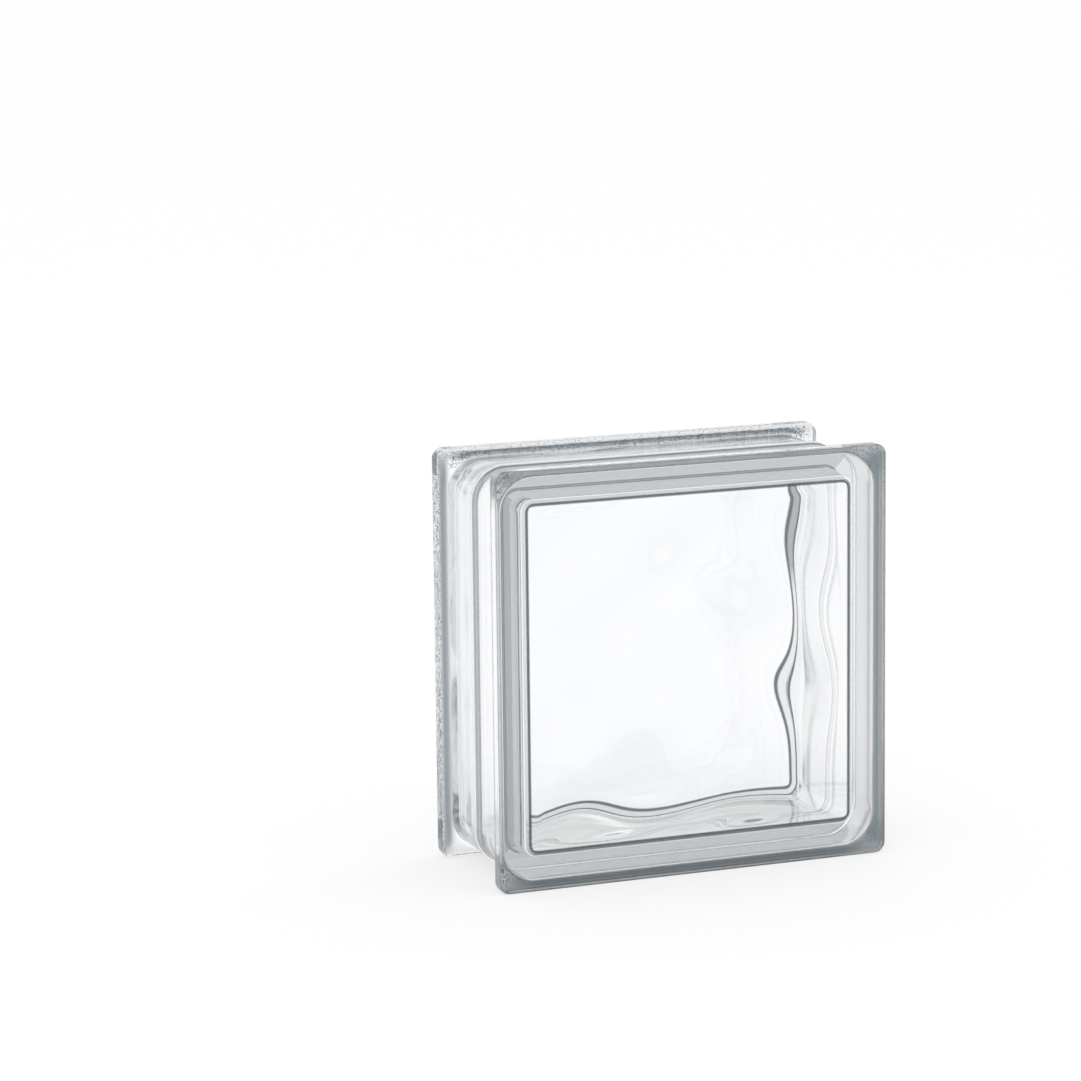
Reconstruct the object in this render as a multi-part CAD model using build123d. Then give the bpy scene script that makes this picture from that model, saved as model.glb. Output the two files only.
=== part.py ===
from build123d import *
import os
from math import cos, radians, sin, tau

# A hollow glass block: two pressed half shells, fused where their open sides meet.
# Millimetres. X is the width, Z the height, Y the depth, and the front face looks to -Y.
# The origin is at the middle of the bottom, under the seam.

# Outer size, over the two faces and their rims
face_width = 190.0
face_height = 190.0
block_depth = 80.0

# The rim round each face, which stands proud of the side walls
rim_land = 7.5
rim_corner_radius = 5.0
rim_edge_radius = 1.2

# The channel for mortar and rods, between the two rims
channel_depth = 4.5
channel_corner_radius = 15.0
channel_root_radius = 2.5

# The bead where the halves are fused: the width is across the seam, half of it on each
seam_bead_width = 5.0
seam_bead_height = 1.5
seam_bead_radius = 1.2

# The hollow inside, shaped by a plunger with a little draft
face_thickness = 8.5
wall_at_seam = 8.0
plunger_draft = 3.0
hollow_corner_radius = 7.5
hollow_cove_radius = 3.0

# The soft waves pressed into the inner face of each half, as undulations that add up.
# Each row: crest to crest, heading in degrees from +X, height, phase in degrees.
wave_rows = (
    (40.0, 45.0, 0.31, 157.0),
    (46.0, 30.0, 0.50, 171.0),
    (52.0, 120.0, 0.42, 351.0),
    (60.0, 150.0, 0.50, 96.0),
)
# The waved surface is drawn this far past the hollow, through points this far apart
wave_overhang = 6.0
wave_point_spacing = 6.0
# The plunger's cove starts this far behind the deepest wave trough
cove_clearance = 0.2


def wave_relief(across, up):
    """How far the waves stand up from the mean inner face, into the hollow."""
    relief = 0.0
    for length, heading, height, phase in wave_rows:
        along = across * cos(radians(heading)) + up * sin(radians(heading))
        relief += height * sin(tau * along / length + radians(phase))
    return relief


def seam_outline(inset, corner):
    """A rounded rectangle, set in from the edge of the face."""
    return RectangleRounded(face_width - 2 * inset, face_height - 2 * inset, corner)


# Each half is made lying on its seam: Z is the distance from the seam.
half_depth = block_depth / 2
rim_start = half_depth - rim_land


def outer_body():
    """One half without its hollow."""
    rim = Pos(0, 0, rim_start) * extrude(seam_outline(0, rim_corner_radius), amount=rim_land)
    rim_faces = rim.faces().filter_by(Plane.XY)
    rim = fillet(rim_faces.edges(), rim_edge_radius)

    barrel = extrude(seam_outline(channel_depth, channel_corner_radius), amount=rim_start)
    body = rim + barrel
    seam_face, shoulder, front_face = body.faces().filter_by(Plane.XY).sort_by(Axis.Z)
    body = fillet(shoulder.inner_wires()[0].edges(), channel_root_radius)

    bead_inset = channel_depth - seam_bead_height
    bead_outline = seam_outline(bead_inset, channel_corner_radius + seam_bead_height)
    bead = extrude(bead_outline, amount=seam_bead_width / 2)
    bead = fillet(bead.faces().sort_by(Axis.Z)[-1].edges(), seam_bead_radius)
    return body + bead


def waved_glass(turned):
    """The solid glass beyond the waved inner face. The back half's waves are turned over."""
    reach_across = face_width / 2 - channel_depth - wall_at_seam + wave_overhang
    reach_up = face_height / 2 - channel_depth - wall_at_seam + wave_overhang
    columns = round(2 * reach_across / wave_point_spacing)
    rows = round(2 * reach_up / wave_point_spacing)
    mean_level = half_depth - face_thickness
    grid = []
    for row in range(rows + 1):
        up = reach_up * (2 * row / rows - 1)
        line = []
        for column in range(columns + 1):
            across = reach_across * (2 * column / columns - 1)
            relief = wave_relief(up, across) if turned else wave_relief(across, up)
            line.append(Vector(across, up, mean_level - relief))
        grid.append(line)
    waves = Face.make_surface_from_array_of_points(grid)
    return extrude(waves, amount=2 * face_thickness, dir=(0, 0, 1))


def hollow(turned):
    """The air inside one half: the plunger's form, ended by the waved glass."""
    deepest_trough = sum(height for length, heading, height, phase in wave_rows)
    reach = half_depth - face_thickness + deepest_trough + cove_clearance
    inset = channel_depth + wall_at_seam
    opening = seam_outline(inset, hollow_corner_radius)
    air = extrude(opening, amount=reach, taper=plunger_draft)
    air = fillet(air.faces().sort_by(Axis.Z)[-1].edges(), hollow_cove_radius)
    return air - waved_glass(turned)


def half_shell(turned):
    return outer_body() - hollow(turned)


# Each half stands on its bottom rim, with its face to -Y or +Y.
face_forward = Pos(0, 0, face_height / 2) * Rot(90, 0, 0)
face_back = Pos(0, 0, face_height / 2) * Rot(0, 0, 180) * Rot(90, 0, 0)
halves = {
    "front_half": face_forward * half_shell(turned=False),
    "back_half": face_back * half_shell(turned=True),
}

os.makedirs("parts", exist_ok=True)
for name, half in halves.items():
    export_step(half, f"parts/{name}.step")
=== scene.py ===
from math import cos, pi, radians, sin, tan

import bpy
from mathutils import Matrix, Vector


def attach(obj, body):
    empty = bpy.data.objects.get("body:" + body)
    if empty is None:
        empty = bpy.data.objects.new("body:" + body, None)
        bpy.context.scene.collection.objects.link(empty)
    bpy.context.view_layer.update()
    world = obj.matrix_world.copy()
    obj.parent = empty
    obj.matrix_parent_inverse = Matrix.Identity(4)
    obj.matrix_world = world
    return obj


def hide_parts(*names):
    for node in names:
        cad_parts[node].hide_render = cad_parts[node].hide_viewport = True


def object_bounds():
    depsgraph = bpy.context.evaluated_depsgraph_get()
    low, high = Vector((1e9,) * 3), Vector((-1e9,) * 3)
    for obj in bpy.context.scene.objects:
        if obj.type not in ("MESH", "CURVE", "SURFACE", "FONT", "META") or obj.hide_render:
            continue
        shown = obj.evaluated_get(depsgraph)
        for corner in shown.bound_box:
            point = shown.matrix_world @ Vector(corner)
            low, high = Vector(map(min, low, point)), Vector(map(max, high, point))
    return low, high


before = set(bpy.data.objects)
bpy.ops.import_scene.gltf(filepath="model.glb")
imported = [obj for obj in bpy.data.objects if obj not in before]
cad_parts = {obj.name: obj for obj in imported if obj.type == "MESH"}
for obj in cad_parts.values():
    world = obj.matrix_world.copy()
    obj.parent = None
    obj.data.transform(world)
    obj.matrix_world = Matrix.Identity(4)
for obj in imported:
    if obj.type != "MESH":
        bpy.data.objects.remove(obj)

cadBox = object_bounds()
mm = 0.001

# The block's own box: X is the width, Y the depth and Z the height, with the front face at -Y.
halfWidth = (cadBox[1][0] - cadBox[0][0]) / 2 / mm
halfHeight = (cadBox[1][2] - cadBox[0][2]) / 2 / mm
halfDepth = (cadBox[1][1] - cadBox[0][1]) / 2 / mm

# Pressed section, in mm, the same as the frame's two halves
section = {
    "rimLand": 7.5,
    "rimCorner": 5.0,
    "rimEdgeRound": 1.2,
    "channelDepth": 4.5,
    "channelCorner": 15.0,
    "channelRoot": 2.5,
    "beadWidth": 5.0,
    "beadHeight": 1.5,
    "beadFoot": 0.4,          # how far past the bead's half width its foot starts
    "beadFootShare": 0.55,    # share of the way to the seam that the foot takes
    "beadCrown": 0.07,        # share of the height that the crown still rises from there
    "faceThickness": 8.5,
    "wallAtSeam": 8.0,
    "plungerDraft": 3.0,      # degrees
    "hollowCorner": 7.5,      # at the seam
    "hollowCove": 3.0,
    "leastCorner": 0.8,       # where the cove has used up the corner
}

# The plunger's soft waves: crest to crest in mm, heading in degrees from +X, height in mm, phase in degrees
waves = {
    "rows": (
        (40.0, 45.0, 0.31, 157.0),
        (46.0, 30.0, 0.50, 171.0),
        (52.0, 120.0, 0.42, 351.0),
        (60.0, 150.0, 0.50, 96.0),
    ),
    "edgeGap": 0.6,           # mm between the cove and the waved grid
    "fadeIn": 5.0,            # mm past the cove over which the waves reach full height
}

# Small unevenness of hot pressed glass, in mm
unevenness = {
    "beadHeight": 0.25,
    "beadLength": 26.0,
}

meshSteps = {
    "side": 124,              # stations along each side of the block
    "corner": 8,              # of them, in each half corner
    "cornerSpan": 6.0,        # mm of the waved grid that those take
    "round": 6,               # steps in each edge round
    "faceEdge": (1.2, 0.25),  # mm from the front face's round to the rings inside it
    "land": 5,
    "shoulder": 4,
    "cove": 10,
    "barrel": 6,
    "bead": 10,
    "wall": 8,
}


def addNode(tree, kind, inputs=None, **settings):
    node = tree.nodes.new(kind)
    for name, value in settings.items():
        setattr(node, name, value)
    for socket, value in (inputs or {}).items():
        if isinstance(value, bpy.types.NodeSocket):
            tree.links.new(value, node.inputs[socket])
        else:
            node.inputs[socket].default_value = value
    return node


def newMaterial(name):
    material = bpy.data.materials.new(name)
    material.use_nodes = True
    material.node_tree.nodes.clear()
    return material


def hexColour(text):
    channels = [int(text[i:i + 2], 16) / 255 for i in (1, 3, 5)]
    return [c / 12.92 if c <= 0.04045 else ((c + 0.055) / 1.055) ** 2.4 for c in channels] + [1.0]


def clampShare(value):
    return min(max(value, 0.0), 1.0)


def smoothShare(value):
    return value * value * (3 - 2 * value)


# Outlines

def sideStations(half, corner):
    # Places along one side, from mid corner to mid corner: (along, how far the corner falls back)
    steps, cornerSteps = meshSteps["side"], meshSteps["corner"]
    straight = half - corner
    places = []
    for i in range(steps):
        j = min(i, steps - i)
        if j < cornerSteps:
            turn = radians(45) * (1 - j / cornerSteps)
            along, back = -straight - corner * sin(turn), corner * (1 - cos(turn))
        else:
            middleShare = (j - cornerSteps) / (steps - 2 * cornerSteps)
            along, back = -straight * (1 - 2 * middleShare), 0.0
        places.append((along if i == j else -along, back))
    return places


def outline(inset, corner):
    # A rounded rectangle set in from the block's edge, as (x, z) in mm about its middle
    wide, high = halfWidth - inset, halfHeight - inset
    bottom = [(along, -high + back) for along, back in sideStations(wide, corner)]
    right = [(wide - back, along) for along, back in sideStations(high, corner)]
    return bottom + right + [(-x, -z) for x, z in bottom + right]


def gridStations(half):
    # Places of the waved grid's lines, from one edge to the other, closer near the edges
    steps, cornerSteps, span = meshSteps["side"], meshSteps["corner"], meshSteps["cornerSpan"]
    places = []
    for i in range(steps + 1):
        j = min(i, steps - i)
        if j < cornerSteps:
            place = -half + span * j / cornerSteps
        else:
            middleShare = (j - cornerSteps) / (steps - 2 * cornerSteps)
            place = -(half - span) * (1 - 2 * middleShare)
        places.append(place if i == j else -place)
    return places


# Section profiles: rows of (inset, corner radius, y, skin), in mm. The skin gives shares from 0 to 1
# at each place: land for the stippled side of the rim, shoulder for the rough step behind it, root where
# that step turns into the side wall, satin for the wall, bead for the fused bead, crease for its feet,
# cove for the plunger's rounded edge, and the painted line share for dark lines along it, which are painted
# shade.
skinFades = {
    "shoulderAtRim": 0.88,    # share of the shoulder's painted shade at the rim's edge
    "landPower": 2,           # how sharply the land ends at the shoulder
    "rootPower": 2,           # and the shoulder and its painted shade in the root
    "shoulderPower": 3,
    "creaseFrom": 0.05,       # shares of the way over half the bead
    "creaseTo": 0.35,
    "satinFade": 3,           # how fast the satin ends on the bead
    "lineSteps": 3,           # cove steps from each of its edges within which the painted dark lines lie
}


def outerProfile():
    # From the front face's edge to the seam
    s, fades = section, skinFades
    rows = []
    faceY, shoulderY = -halfDepth, -halfDepth + s["rimLand"]
    edge, root = s["rimEdgeRound"], s["channelRoot"]
    for extra in meshSteps["faceEdge"]:
        rows.append((edge + extra, s["rimCorner"] - edge, faceY, {}))
    for i in range(meshSteps["round"] + 1):
        turn = radians(90) * i / meshSteps["round"]
        inset = edge * (1 - sin(turn))
        skin = {"land": i / meshSteps["round"]}
        rows.append((inset, s["rimCorner"] - inset, faceY + edge * (1 - cos(turn)), skin))
    landFrom, landTo = faceY + edge, shoulderY - edge
    for i in range(1, meshSteps["land"]):
        y = landFrom + (landTo - landFrom) * i / meshSteps["land"]
        rows.append((0.0, s["rimCorner"], y, {"land": 1.0}))
    for i in range(meshSteps["round"] + 1):
        share = i / meshSteps["round"]
        inset = edge * (1 - cos(radians(90) * share))
        y = landTo + edge * sin(radians(90) * share)
        skin = {"land": 1 - share ** fades["landPower"], "shoulder": fades["shoulderAtRim"] * share}
        rows.append((inset, s["rimCorner"] - inset, y, skin))
    rootInset = s["channelDepth"] - root
    rootCorner = s["channelCorner"] + root
    for i in range(1, meshSteps["shoulder"]):
        share = i / meshSteps["shoulder"]
        inset = edge + (rootInset - edge) * share
        corner = (s["rimCorner"] - edge) * (1 - share) + rootCorner * share
        grey = fades["shoulderAtRim"] + (1 - fades["shoulderAtRim"]) * share
        rows.append((inset, corner, shoulderY, {"shoulder": grey, "root": share}))
    for i in range(meshSteps["round"] + 1):
        share = i / meshSteps["round"]
        inset = rootInset + root * sin(radians(90) * share)
        y = shoulderY + root * (1 - cos(radians(90) * share))
        fading = 1 - share ** fades["shoulderPower"]
        skin = {"shoulder": fading, "root": 1 - share ** fades["rootPower"], "satin": 1 - fading}
        rows.append((inset, rootCorner - inset + rootInset, y, skin))
    barrelFrom, barrelTo = shoulderY + root, -s["beadWidth"] / 2 - s["beadFoot"]
    for i in range(1, meshSteps["barrel"] + 1):
        y = barrelFrom + (barrelTo - barrelFrom) * i / meshSteps["barrel"]
        rows.append((s["channelDepth"], s["channelCorner"], y, {"satin": 1.0}))
    for i in range(1, meshSteps["bead"] + 1):
        share = i / meshSteps["bead"]
        rise = beadRise(share)
        crease = 1.0 if fades["creaseFrom"] < share < fades["creaseTo"] else 0.0
        satin = max(1 - fades["satinFade"] * share, 0.0)
        skin = {"bead": rise / s["beadHeight"], "satin": satin, "crease": crease}
        rows.append((s["channelDepth"] - rise, s["channelCorner"] + rise, barrelTo * (1 - share), skin))
    return rows


def beadRise(share):
    # The bead's height at a share of the way from its foot to the seam: a steep foot and a full crown
    crown = section["beadCrown"]
    swell = smoothShare(min(share / section["beadFootShare"], 1.0))
    return section["beadHeight"] * ((1 - crown) * swell + crown * share)


def hollowProfile():
    # From the seam to the edge of the front's waved grid
    s = section
    lean = tan(radians(s["plungerDraft"]))
    coveFrom = halfDepth - s["faceThickness"] - s["hollowCove"]
    rows = []
    for i in range(meshSteps["wall"] + 1):
        depth = coveFrom * i / meshSteps["wall"]
        inset = s["channelDepth"] + s["wallAtSeam"] + depth * lean
        rows.append((inset, s["hollowCorner"] - depth * lean, -depth, {}))
    wallInset, wallCorner = rows[-1][0], rows[-1][1]
    for i in range(1, meshSteps["cove"] + 1):
        turn = radians(90) * i / meshSteps["cove"]
        inward = s["hollowCove"] * (1 - cos(turn))
        y = -coveFrom - s["hollowCove"] * sin(turn)
        atEdge = min(i, meshSteps["cove"] - i) < skinFades["lineSteps"]
        skin = {"paintedLines": 1.0 if atEdge else 0.0, "cove": 1.0}
        rows.append((wallInset + inward, max(wallCorner - inward, s["leastCorner"]), y, skin))
    return rows


# Base meshes

def ringFaces(first, second, count):
    nexts = [(i + 1) % count for i in range(count)]
    return [(first + i, first + j, second + j, second + i) for i, j in enumerate(nexts)]


# Painted shade on each half, side by side, with the depth of the stipple on the back rim's side. Rows of
# four are shares for the left, right, top and bottom sides.
mouldAndShade = {
    "frontShoulderShade": (0.9, 1.0, 0.93, 1.0),  # painted shade on the step behind the front rim
    "frontLandShade": (0.0, 0.62, 0.0, 0.9),      # painted shade on the front rim's side
    "frontDeepShade": (0.0, 0.25, 0.0, 0.75),     # darker painted shade on those greys
    # painted shade on the step behind the back rim
    "backShoulderShade": (0.94, 0.1, 0.42, 0.1),
    "frontSpeckShade": (0.05, 0.3, 0.3, 0.3),      # painted dark specks, shade of the stipple, on the rims' sides
    "backSpeckShade": (0.9, 0.0, 0.4, 0.3),
    "backLand": (1.0, 0.05, 1.0, 1.0),       # depth of the stipple on the back rim's side
    "rootShade": (0.0, 0.0, 1.0, 0.0),        # painted dark specks and shade where the back step meets the wall
    "frontCoveShade": (0.45, 0.35, 0.5, 0.6),     # painted shade on the coves between their lines
    "backCoveShade": (0.0, 0.3, 0.0, 0.3),
    "backLineShade": (0.0, 1.0, 0.0, 1.0),       # darkness of the back cove's painted lines
    "seamCreaseShade": (0.42, 0.0, 0.8, 0.0),      # painted shade in the bead's feet
    "cornerShadeGap": (0.22, -0.08, 0.05, 0.16),  # share of the front painted shade that its corners lack
    "cornerSpecks": (0.95, 0.3, 0.75, 0.3),    # sparse dark specks in the front step's corners
    "blendOver": 8.0,         # mm over which one side's shares turn into the next side's
    "cornerFrom": 9.0,        # mm from both edges within which a place is wholly in the corner
    "cornerOver": 9.0,        # mm over which that fades
    "clearFrom": 3.8,         # mm from the back rim's edge past which the painted shade on its step fades
    "clearOver": 2.4,
    "linesFrom": 26.0,        # mm from the left past which the back cove's painted lines start
    "linesOver": 14.0,
    "upperCoveShade": 0.85,        # painted shade on the back cove in its upper part, where it has painted lines
    "upperFrom": 12.0,        # mm above the middle at which it starts
    "upperOver": 20.0,
}


def sideShare(x, z, name):
    # A share from the table above at one place round the block, mostly painted shade, turning gradually at
    # the corners
    left, right, top, bottom = mouldAndShade[name]
    aside, above = halfWidth - abs(x), halfHeight - abs(z)
    level = clampShare(0.5 + (aside - above) / mouldAndShade["blendOver"])
    return (left if x < 0 else right) * (1 - level) + (top if z > 0 else bottom) * level


def rimDepth(x, z):
    # How far a place lies inside the rim's rounded edge, in mm
    corner = section["rimCorner"]
    aside, above = halfWidth - abs(x), halfHeight - abs(z)
    if max(aside, above) < corner:
        return corner - ((corner - aside) ** 2 + (corner - above) ** 2) ** 0.5
    return min(aside, above)


def skinWithShade(x, y, z, skin):
    # The skin at one place, with the painted shade that differs between the halves and the sides
    own = dict(skin)
    land, shoulder, drawn = (skin.get(name, 0.0) for name in ("land", "shoulder", "paintedLines"))

    def share(name):
        return sideShare(x, z, name)

    def risen(value, name):
        return clampShare((value - mouldAndShade[name + "From"]) / mouldAndShade[name + "Over"])

    # Painted shade in the creases at the bead's feet
    own["paintedLines"] = drawn + skin.get("crease", 0.0) * share("seamCreaseShade")
    if y > 0:
        # Painted shade specks on the back rim's side and where its step meets the wall
        rooted = skin.get("root", 0.0) * share("rootShade")
        own["darkSpecks"] = land * share("backSpeckShade") + rooted
        own["land"] = land * share("backLand")
        # Painted shade on the back rim's step, darkest on the left
        grey = max(shoulder * share("backShoulderShade"), rooted)
        own["shoulder"] = grey * (1 - risen(rimDepth(x, z), "clear"))
        if "cove" in skin:
            # Painted dark lines and shade on the back cove
            upper = risen(z, "upper") * mouldAndShade["upperCoveShade"]
            lines = max(drawn, upper) * share("backLineShade")
            own["paintedLines"] = max(lines, share("backCoveShade")) * risen(halfWidth + x, "lines")
    else:
        nearCorner = 1 - risen(max(halfWidth - abs(x), halfHeight - abs(z)), "corner")
        # Painted shade on the front rim's step and side, darker on the right and at the bottom
        grey = clampShare(shoulder * share("frontShoulderShade") + land * share("frontLandShade"))
        grey *= 1 - nearCorner * share("cornerShadeGap")
        own["shoulder"] = grey
        # Deeper painted shade on the right and at the bottom
        own["paintedLines"] += grey * share("frontDeepShade")
        if "cove" in skin:
            # Painted shade on the front cove
            own["paintedLines"] = max(drawn, share("frontCoveShade"))
        # Dark specks in the front step's corners, and painted shade specks on the front rim's side
        own["darkSpecks"] = max(nearCorner * shoulder * share("cornerSpecks"), land * share("frontSpeckShade"))
    return own


def buildGlassBase():
    points, faces = [], []
    names = ("wave", "back", "land", "shoulder", "satin", "bead", "paintedLines", "darkSpecks")
    shares = {name: [] for name in names}
    count = 4 * meshSteps["side"]

    def addPoint(x, y, z, skin):
        points.append((x * mm, y * mm, (z + halfHeight) * mm))
        for name, values in shares.items():
            values.append(skin.get(name, 0.0))

    def addRing(inset, corner, y, skin):
        start = len(points)
        for x, z in outline(inset, corner):
            addPoint(x, y, z, skinWithShade(x, y, z, skin))
        return start

    # Outer skin, front face to back face
    half = outerProfile()
    mirrored = [(inset, corner, -y, skin) for inset, corner, y, skin in reversed(half[:-1])]
    starts = [addRing(*row) for row in half + mirrored]
    for a, b in zip(starts, starts[1:]):
        faces.extend(tuple(reversed(f)) for f in ringFaces(a, b, count))
    faces.append(tuple(range(starts[0], starts[0] + count)))
    faces.append(tuple(range(starts[-1] + count - 1, starts[-1] - 1, -1)))

    # Skin of the hollow, facing into the air
    front = hollowProfile()
    back = [(inset, corner, -y, skin) for inset, corner, y, skin in front[1:]]
    hollowStarts = [addRing(*row) for row in list(reversed(front)) + back]
    for a, b in zip(hollowStarts, hollowStarts[1:]):
        faces.extend(ringFaces(a, b, count))
    for side, edgeRing in ((-1, hollowStarts[0]), (1, hollowStarts[-1])):
        addWavedGrid(side, edgeRing, points, faces, addPoint, count)

    mesh = bpy.data.meshes.new("pressedGlassBase")
    mesh.from_pydata(points, [], faces)
    for name, values in shares.items():
        mesh.attributes.new(name + "Share", "FLOAT", "POINT").data.foreach_set("value", values)
    mesh.shade_smooth()
    mesh.update()
    return mesh


def addWavedGrid(side, edgeRing, points, faces, addPoint, count):
    # One inner face: a grid whose edge joins the last ring of the cove
    steps = meshSteps["side"]
    flatInset = hollowProfile()[-1][0] + waves["edgeGap"]
    across = gridStations(halfWidth - flatInset)
    up = gridStations(halfHeight - flatInset)
    y = side * (halfDepth - section["faceThickness"])
    first = len(points)
    for z in up:
        for x in across:
            room = min(across[-1] - abs(x), up[-1] - abs(z)) / waves["fadeIn"]
            addPoint(x, y, z, {"wave": smoothShare(min(room, 1.0)), "back": 1.0 if side > 0 else 0.0})

    def at(i, j):
        return first + j * (steps + 1) + i

    for j in range(steps):
        for i in range(steps):
            quad = (at(i, j), at(i + 1, j), at(i + 1, j + 1), at(i, j + 1))
            faces.append(tuple(reversed(quad)) if side < 0 else quad)
    edge = [at(i, 0) for i in range(steps)] + [at(steps, j) for j in range(steps)]
    edge += [at(steps - i, steps) for i in range(steps)] + [at(0, steps - j) for j in range(steps)]
    for i in range(count):
        j = (i + 1) % count
        quad = (edgeRing + i, edgeRing + j, edge[j], edge[i])
        faces.append(tuple(reversed(quad)) if side < 0 else quad)


# The press: moves the base's points by the waves and the hot glass's unevenness

def buildPressTree():
    tree = bpy.data.node_groups.new("pressGlass", "GeometryNodeTree")
    face = tree.interface
    face.new_socket(name="Geometry", in_out="OUTPUT", socket_type="NodeSocketGeometry")
    face.new_socket(name="Geometry", in_out="INPUT", socket_type="NodeSocketGeometry")
    for n in range(len(waves["rows"])):
        for label in ("length", "heading", "height", "phase"):
            face.new_socket(name=f"Wave {n + 1} {label}", in_out="INPUT", socket_type="NodeSocketFloat")
    for label in ("Bead unevenness", "Bead length", "Middle height"):
        face.new_socket(name=label, in_out="INPUT", socket_type="NodeSocketFloat")
    face.new_socket(name="Glass", in_out="INPUT", socket_type="NodeSocketMaterial")
    given = addNode(tree, "NodeGroupInput").outputs

    def math(operation, a, b=0.0):
        return addNode(tree, "ShaderNodeMath", {0: a, 1: b}, operation=operation).outputs[0]

    def stored(name):
        return addNode(tree, "GeometryNodeInputNamedAttribute", {"Name": name}, data_type="FLOAT").outputs[0]

    def blend(share, a, b):
        return addNode(tree, "ShaderNodeMix", {0: share, 2: a, 3: b}, data_type="FLOAT").outputs[0]

    place = addNode(tree, "GeometryNodeInputPosition").outputs[0]
    inMm = addNode(tree, "ShaderNodeVectorMath", {0: place, "Scale": 1 / mm}, operation="SCALE").outputs[0]
    parts = addNode(tree, "ShaderNodeSeparateXYZ", {0: inMm}).outputs
    back = stored("backShare")
    upFromMiddle = math("SUBTRACT", parts[2], given["Middle height"])
    # The back half's waves are turned over: across is the height, and up is the width from the right
    across = blend(back, parts[0], upFromMiddle)
    up = blend(back, upFromMiddle, math("MULTIPLY", parts[0], -1.0))
    relief = None
    for n in range(len(waves["rows"])):
        heading = math("RADIANS", given[f"Wave {n + 1} heading"])
        along = math("ADD", math("MULTIPLY", across, math("COSINE", heading)),
                     math("MULTIPLY", up, math("SINE", heading)))
        turns = math("DIVIDE", math("MULTIPLY", along, 2 * pi), given[f"Wave {n + 1} length"])
        swing = math("SINE", math("ADD", turns, math("RADIANS", given[f"Wave {n + 1} phase"])))
        wave = math("MULTIPLY", swing, given[f"Wave {n + 1} height"])
        relief = wave if relief is None else math("ADD", relief, wave)
    inward = math("SUBTRACT", 1.0, math("MULTIPLY", back, 2.0))
    faded = math("MULTIPLY", relief, stored("waveShare"))
    shift = math("MULTIPLY", faded, math("MULTIPLY", inward, mm))
    waved = addNode(tree, "GeometryNodeSetPosition", {
        "Geometry": given["Geometry"],
        "Offset": addNode(tree, "ShaderNodeCombineXYZ", {1: shift}).outputs[0],
    }).outputs[0]

    # Uneven bead: the squeezed glass stands more or less proud along the seam, never past its full height
    noise = addNode(tree, "ShaderNodeTexNoise", {
        "Vector": inMm, "Scale": math("DIVIDE", 1.0, given["Bead length"]), "Detail": 2.0,
    }).outputs[0]
    drop = math("MULTIPLY", math("MULTIPLY", noise, given["Bead unevenness"]), stored("beadShare"))
    normal = addNode(tree, "GeometryNodeInputNormal").outputs[0]
    beadShift = addNode(tree, "ShaderNodeVectorMath", {
        0: normal, "Scale": math("MULTIPLY", drop, -mm),
    }, operation="SCALE").outputs[0]
    beaded = addNode(tree, "GeometryNodeSetPosition", {"Geometry": waved, "Offset": beadShift}).outputs[0]
    real = addNode(tree, "GeometryNodeRealizeInstances", {"Geometry": beaded}).outputs[0]
    dressed = addNode(tree, "GeometryNodeSetMaterial", {
        "Geometry": real, "Material": given["Glass"],
    }).outputs[0]
    addNode(tree, "NodeGroupOutput", {"Geometry": dressed})
    return tree


def pressBlock(material):
    tree = buildPressTree()
    base = bpy.data.objects.new("pressedBase", buildGlassBase())
    bpy.context.collection.objects.link(base)
    press = base.modifiers.new("press", "NODES")
    press.node_group = tree
    values = {
        "Bead unevenness": unevenness["beadHeight"],
        "Bead length": unevenness["beadLength"],
        "Middle height": halfHeight,
        "Glass": material,
    }
    for n, row in enumerate(waves["rows"]):
        for label, value in zip(("length", "heading", "height", "phase"), row):
            values[f"Wave {n + 1} {label}"] = value
    for item in tree.interface.items_tree:
        if item.in_out == "INPUT" and item.name in values:
            press[item.identifier] = values[item.name]
    depsgraph = bpy.context.evaluated_depsgraph_get()
    mesh = bpy.data.meshes.new_from_object(base.evaluated_get(depsgraph), depsgraph=depsgraph)
    bpy.data.objects.remove(base)
    block = bpy.data.objects.new("fusedGlass", mesh)
    bpy.context.collection.objects.link(block)
    return block


# Clear soda-lime glass, pressed hot and fire-polished by the fusing flame: a smooth skin with soft
# ripples, faintly grey-green through its thickness, and a fine stipple from the mould on the rims.
glassLook = {
    "ior": 1.52,
    "absorbColour": "#DDE4E2",
    "absorbDensity": 3.0,     # per metre
    "stippleSize": 0.9,       # mm, coarser than the real grit so that it shows
    "stippleDepth": 0.08,     # mm
    # painted dark specks: shade where the stipple on the rims breaks up the light
    "speckleSize": 0.55,      # mm
    "speckleStretch": 0.4,    # the pressing draws the grains out along the depth
    "speckleFrom": 0.62,      # noise level at which a dark grain starts
    "speckleTo": 0.7,         # and is full
    "speckleGain": 0.16,      # how far a full dark speck share lifts the noise, from sparse specks to a dense stipple
    "speckleFull": 0.2,       # dark speck share from which the grains are fully dark
    "speckShadeGrey": "#20272A",
    "landRoughness": 0.12,
    "shoulderRoughness": 0.3,
    "satinRoughness": 0.15,
    # painted shade on the rim steps
    "shoulderShadeGrey": "#3D4B51",
    "paintedLineGrey": "#192126",  # painted dark lines round the hollow, shade where the plunger's coves bend the light
    "rippleSize": 30.0,       # mm
    "rippleDepth": 0.03,      # mm
}


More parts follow.
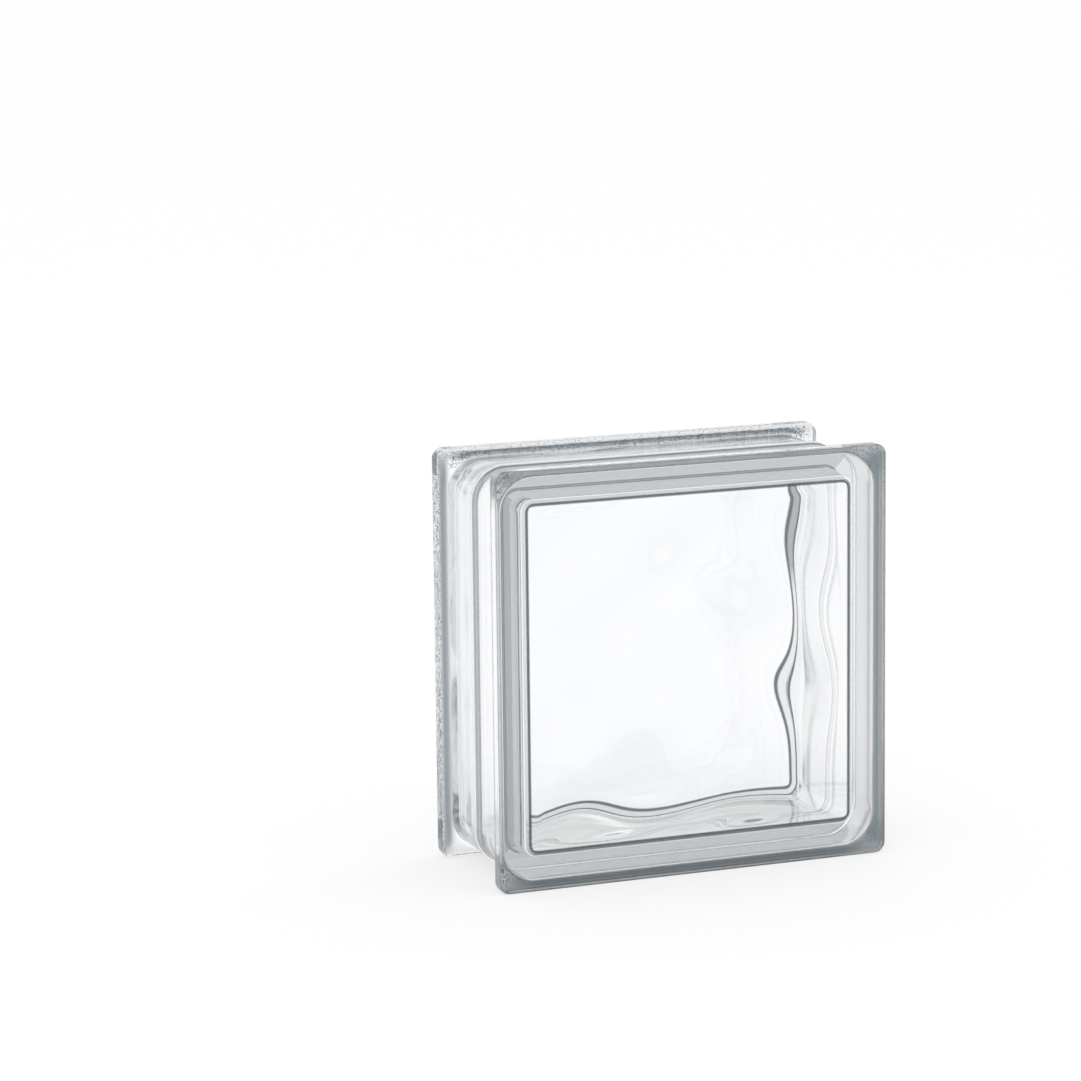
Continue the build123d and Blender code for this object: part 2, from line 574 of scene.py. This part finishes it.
def makeGlass():
    material = newMaterial("pressedSodaLimeGlass")
    tree = material.node_tree
    look = glassLook

    def noise(place, size, detail):
        return addNode(tree, "ShaderNodeTexNoise", {
            "Vector": place, "Scale": 1 / (size * mm), "Detail": detail,
        }).outputs[0]

    def skinShare(name):
        return addNode(tree, "ShaderNodeAttribute", attribute_name=name + "Share").outputs["Fac"]

    def math(operation, *values):
        return addNode(tree, "ShaderNodeMath", dict(enumerate(values)), operation=operation).outputs[0]

    def rise(value, start, end):
        return addNode(tree, "ShaderNodeMapRange", {
            "Value": value, "From Min": start, "From Max": end,
        }).outputs[0]

    def tinted(share, under, colour):
        return addNode(tree, "ShaderNodeMix", {
            0: share, 6: under, 7: hexColour(colour),
        }, data_type="RGBA").outputs[2]

    place = addNode(tree, "ShaderNodeTexCoord").outputs["Object"]
    land, shoulder, satin = skinShare("land"), skinShare("shoulder"), skinShare("satin")
    roughness = math("MULTIPLY", land, look["landRoughness"])
    roughness = math("MULTIPLY_ADD", shoulder, look["shoulderRoughness"], roughness)
    roughness = math("MULTIPLY_ADD", satin, look["satinRoughness"], roughness)

    # Dark grains of painted shade on the stippled rims and steps
    drawnOut = addNode(tree, "ShaderNodeVectorMath", {
        0: place, 1: (1.0, look["speckleStretch"], 1.0),
    }, operation="MULTIPLY").outputs[0]
    darkSpecks = skinShare("darkSpecks")
    grains = math("MULTIPLY_ADD", darkSpecks, look["speckleGain"], noise(drawnOut, look["speckleSize"], 1.0))
    dots = rise(grains, look["speckleFrom"], look["speckleTo"])
    speckle = math("MULTIPLY", dots, rise(darkSpecks, 0.0, look["speckleFull"]))
    # Painted shade in the base colour: grey on the rim steps, dark specks, and dark lines round the hollows
    # and in the bead's feet
    paintedShade = tinted(shoulder, [1.0, 1.0, 1.0, 1.0], look["shoulderShadeGrey"])
    paintedShade = tinted(speckle, paintedShade, look["speckShadeGrey"])
    paintedShade = tinted(skinShare("paintedLines"), paintedShade, look["paintedLineGrey"])

    # Soft ripples everywhere, and the mould's stipple on the rims
    soft = addNode(tree, "ShaderNodeBump", {
        "Distance": look["rippleDepth"] * mm, "Height": noise(place, look["rippleSize"], 1.0),
    }).outputs[0]
    stipple = math("MULTIPLY", noise(place, look["stippleSize"], 2.0), math("ADD", land, shoulder))
    rough = addNode(tree, "ShaderNodeBump", {
        "Distance": look["stippleDepth"] * mm, "Height": stipple, "Normal": soft,
    }).outputs[0]
    skin = addNode(tree, "ShaderNodeBsdfPrincipled", {
        "Base Color": paintedShade,
        "Roughness": roughness,
        "IOR": look["ior"],
        "Transmission Weight": 1.0,
        "Normal": rough,
    }).outputs[0]
    depth = addNode(tree, "ShaderNodeVolumeAbsorption", {
        "Color": hexColour(look["absorbColour"]),
        "Density": look["absorbDensity"],
    }).outputs[0]
    addNode(tree, "ShaderNodeOutputMaterial", {"Surface": skin, "Volume": depth})
    return material


glass = makeGlass()
block = pressBlock(glass)
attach(block, "root")
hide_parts("front_half", "back_half")
print("pressed glass:", len(block.data.polygons), "faces")

# The fused joint between the halves holds a thin grey sheet of painted shade inside the wall,
# which takes some of the light that runs along the walls and is densest where it meets the air inside.
# It has one material for each density.
joint = {
    "colour": "#6C8092",
    "roughness": 0.6,
    "setBack": 0.02,          # mm short of the wall's two sides
    "edgeWidth": 0.7,         # mm
    "covers": {               # share of the light that each part stops
        "jointShadeSheet": 0.42,
        "jointShadeThin": 0.18,   # the right side
        "jointShadeDense": 0.6,   # the inner half of the left side
        "jointShadeEdge": 0.8,    # along the hollow
    },
}


def makeJointShade(name, cover):
    material = newMaterial(name)
    tree = material.node_tree
    skin = addNode(tree, "ShaderNodeBsdfPrincipled", {
        "Base Color": hexColour(joint["colour"]),
        "Roughness": joint["roughness"],
        "Alpha": cover,
    }).outputs[0]
    addNode(tree, "ShaderNodeOutputMaterial", {"Surface": skin})
    return material


def jointPart(place, row):
    # The material of the painted shade sheet at a place of the joint, in one of its three rows
    innerHalf, edge = 1, 2    # row 0 is the outer half
    aside = abs(place.x) / mm - halfWidth
    above = abs(place.z / mm - halfHeight) - halfHeight
    if row == edge:
        return "jointShadeEdge"
    if aside > above and place.x > 0:
        return "jointShadeThin"
    if aside > above and row == innerHalf:
        return "jointShadeDense"
    return "jointShadeSheet"


def addJoint():
    s = section
    outerInset = s["channelDepth"] + joint["setBack"]
    innerInset = s["channelDepth"] + s["wallAtSeam"] - joint["setBack"]
    rings = (
        outline(outerInset, s["channelCorner"]),
        outline((outerInset + innerInset) / 2, (s["channelCorner"] + s["hollowCorner"]) / 2),
        outline(innerInset - joint["edgeWidth"], s["hollowCorner"] + joint["edgeWidth"]),
        outline(innerInset, s["hollowCorner"]),
    )
    count = len(rings[0])
    points = [(x * mm, 0.0, (z + halfHeight) * mm) for ring in rings for x, z in ring]
    faces = []
    for row in range(len(rings) - 1):
        faces.extend(ringFaces(row * count, (row + 1) * count, count))
    mesh = bpy.data.meshes.new("shadeSheetAtJoint")
    mesh.from_pydata(points, [], faces)
    for name, cover in joint["covers"].items():
        mesh.materials.append(makeJointShade(name, cover))
    names = list(joint["covers"])
    for face in mesh.polygons:
        face.material_index = names.index(jointPart(face.center, face.index // count))
    ring = bpy.data.objects.new("shadeSheetAtJoint", mesh)
    bpy.context.collection.objects.link(ring)
    return ring


jointShadeObject = addJoint()
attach(jointShadeObject, "root")

# Studio: a bright white room, and a matte white card under the block that glows a little of its own
studio = {
    "floorSize": 12.0,        # m from the middle to each edge
    "floorColour": "#FAFAFA",
    "floorGlow": 0.65,        # share of its own light that the camera sees on the floor
    "floorThroughGlass": 0.6,  # the same through the glass
    "roomLight": 1.03,        # world strength on the object and floor
    "turnedOnce": 1.0,        # room brightness that light meets when turned once inside the glass
    "turnedMore": 0.92,       # the same when turned twice or more
    "darkUp": 0.8,            # share of these left overhead
    "overhead": 0.9,          # height of a direction, of 1 for straight up, that counts as overhead
    "hazeColour": "#E9ECF6",  # soft patches of light on the floor card, seen through the glass alone
    "hazeSize": 0.8,          # m
    "hazeStretch": 0.45,
    "hazeFrom": 0.3,          # noise levels between which the haze comes up
    "hazeTo": 0.68,
}

floorMesh = bpy.data.meshes.new("studioFloor")
reach = studio["floorSize"]
floorCorners = ((-reach, -reach, 0), (reach, -reach, 0), (reach, reach, 0), (-reach, reach, 0))
floorMesh.from_pydata(floorCorners, [], [(0, 1, 2, 3)])
floor = bpy.data.objects.new("studioFloor", floorMesh)
bpy.context.collection.objects.link(floor)


def makeFloor():
    material = newMaterial("matteCard")
    tree = material.node_tree
    path = addNode(tree, "ShaderNodeLightPath").outputs
    direct = addNode(tree, "ShaderNodeMath", {
        0: path["Is Camera Ray"], 1: studio["floorGlow"],
    }, operation="MULTIPLY").outputs[0]
    share = addNode(tree, "ShaderNodeMath", {
        0: path["Is Transmission Ray"], 1: studio["floorThroughGlass"], 2: direct,
    }, operation="MULTIPLY_ADD").outputs[0]
    place = addNode(tree, "ShaderNodeTexCoord").outputs["Object"]
    drawnOut = addNode(tree, "ShaderNodeVectorMath", {
        0: place, 1: (1.0, studio["hazeStretch"], 1.0),
    }, operation="MULTIPLY").outputs[0]
    clouds = addNode(tree, "ShaderNodeTexNoise", {
        "Vector": drawnOut, "Scale": 1 / studio["hazeSize"], "Detail": 1.0,
    }).outputs[0]
    haze = addNode(tree, "ShaderNodeMapRange", {
        "Value": clouds, "From Min": studio["hazeFrom"], "From Max": studio["hazeTo"],
    }).outputs[0]
    haze = addNode(tree, "ShaderNodeMath", {
        0: haze, 1: path["Is Transmission Ray"],
    }, operation="MULTIPLY").outputs[0]
    light = addNode(tree, "ShaderNodeMix", {
        0: haze, 6: [1.0, 1.0, 1.0, 1.0], 7: hexColour(studio["hazeColour"]),
    }, data_type="RGBA").outputs[2]
    card = addNode(tree, "ShaderNodeBsdfDiffuse", {"Color": hexColour(studio["floorColour"])}).outputs[0]
    glow = addNode(tree, "ShaderNodeEmission", {"Color": light, "Strength": 1.0}).outputs[0]
    both = addNode(tree, "ShaderNodeMixShader", {0: share, 1: card, 2: glow}).outputs[0]
    addNode(tree, "ShaderNodeOutputMaterial", {"Surface": both})
    return material


floor.data.materials.append(makeFloor())


def makeWorld():
    world = bpy.data.worlds.new("softRoom")
    bpy.context.scene.world = world
    world.use_nodes = True
    tree = world.node_tree
    tree.nodes.clear()
    path = addNode(tree, "ShaderNodeLightPath").outputs

    def math(operation, a, b):
        return addNode(tree, "ShaderNodeMath", {0: a, 1: b}, operation=operation).outputs[0]

    def blend(share, a, b):
        return addNode(tree, "ShaderNodeMix", {0: share, 2: a, 3: b}, data_type="FLOAT").outputs[0]

    def atLeastOnce(depth):
        return math("GREATER_THAN", path[depth], 0.5)

    seen = math("MAXIMUM", path["Is Camera Ray"], path["Is Glossy Ray"])
    seen = math("MAXIMUM", seen, path["Is Transmission Ray"])
    way = addNode(tree, "ShaderNodeTexCoord").outputs["Generated"]
    height = addNode(tree, "ShaderNodeSeparateXYZ", {0: way}).outputs[2]
    aside = addNode(tree, "ShaderNodeMapRange", {
        "Value": height, "From Min": 0.0, "From Max": studio["overhead"],
        "To Min": 1.0, "To Max": studio["darkUp"],
    }).outputs[0]
    turns = addNode(tree, "ShaderNodeMapRange", {
        "Value": path["Glossy Depth"], "From Min": 1.0, "From Max": 2.0,
        "To Min": studio["turnedOnce"], "To Max": studio["turnedMore"],
    }).outputs[0]
    turned = math("MULTIPLY", atLeastOnce("Glossy Depth"), atLeastOnce("Transmission Depth"))
    white = blend(turned, 1.0, math("MULTIPLY", aside, turns))
    sky = addNode(tree, "ShaderNodeBackground", {
        "Color": [1.0, 1.0, 1.0, 1.0], "Strength": blend(seen, studio["roomLight"], white),
    }).outputs[0]
    addNode(tree, "ShaderNodeOutputWorld", {"Surface": sky})


makeWorld()

# Soft boxes: place and target in metres, size in metres, watts
lamps = {
    "keyBox": ((-0.9, -1.1, 1.5), (0, 0, 0.08), 0.9, 3.0),
    "sideBox": ((1.3, 0.4, 1.0), (0, 0, 0.09), 0.7, 1.5),
}

for name, (place, target, size, power) in lamps.items():
    light = bpy.data.lights.new(name, "AREA")
    light.shape = "SQUARE"
    light.size = size
    light.energy = power
    lamp = bpy.data.objects.new(name, light)
    lamp.location = place
    lamp.rotation_euler = (Vector(target) - Vector(place)).to_track_quat("-Z", "Y").to_euler()
    lamp.visible_camera = False
    bpy.context.collection.objects.link(lamp)
print("studio built")

# The photograph's point of view: a long lens, left of the block and a little above it
viewpoint = {
    "place": (-0.7517, -1.7333, 0.4850),
    "heading": 21.81,         # degrees from +Y towards +X
    "down": 10.15,
    "roll": -0.66,
    "lens": 140.7,            # mm
    "frameSize": 36.0,        # mm
}

cameraData = bpy.data.cameras.new("camera")
cameraData.lens = viewpoint["lens"]
cameraData.sensor_width = viewpoint["frameSize"]
camera = bpy.data.objects.new("camera", cameraData)
camera.matrix_world = (
    Matrix.Translation(viewpoint["place"])
    @ Matrix.Rotation(-radians(viewpoint["heading"]), 4, "Z")
    @ Matrix.Rotation(radians(90 - viewpoint["down"]), 4, "X")
    @ Matrix.Rotation(radians(viewpoint["roll"]), 4, "Z")
)
bpy.context.collection.objects.link(camera)
scene = bpy.context.scene
scene.camera = camera
scene.view_settings.view_transform = "Standard"
# Light crosses and meets many walls of glass before it leaves
bounces = 64
scene.cycles.max_bounces = bounces
scene.cycles.transmission_bounces = bounces
scene.cycles.glossy_bounces = bounces
print("camera set")
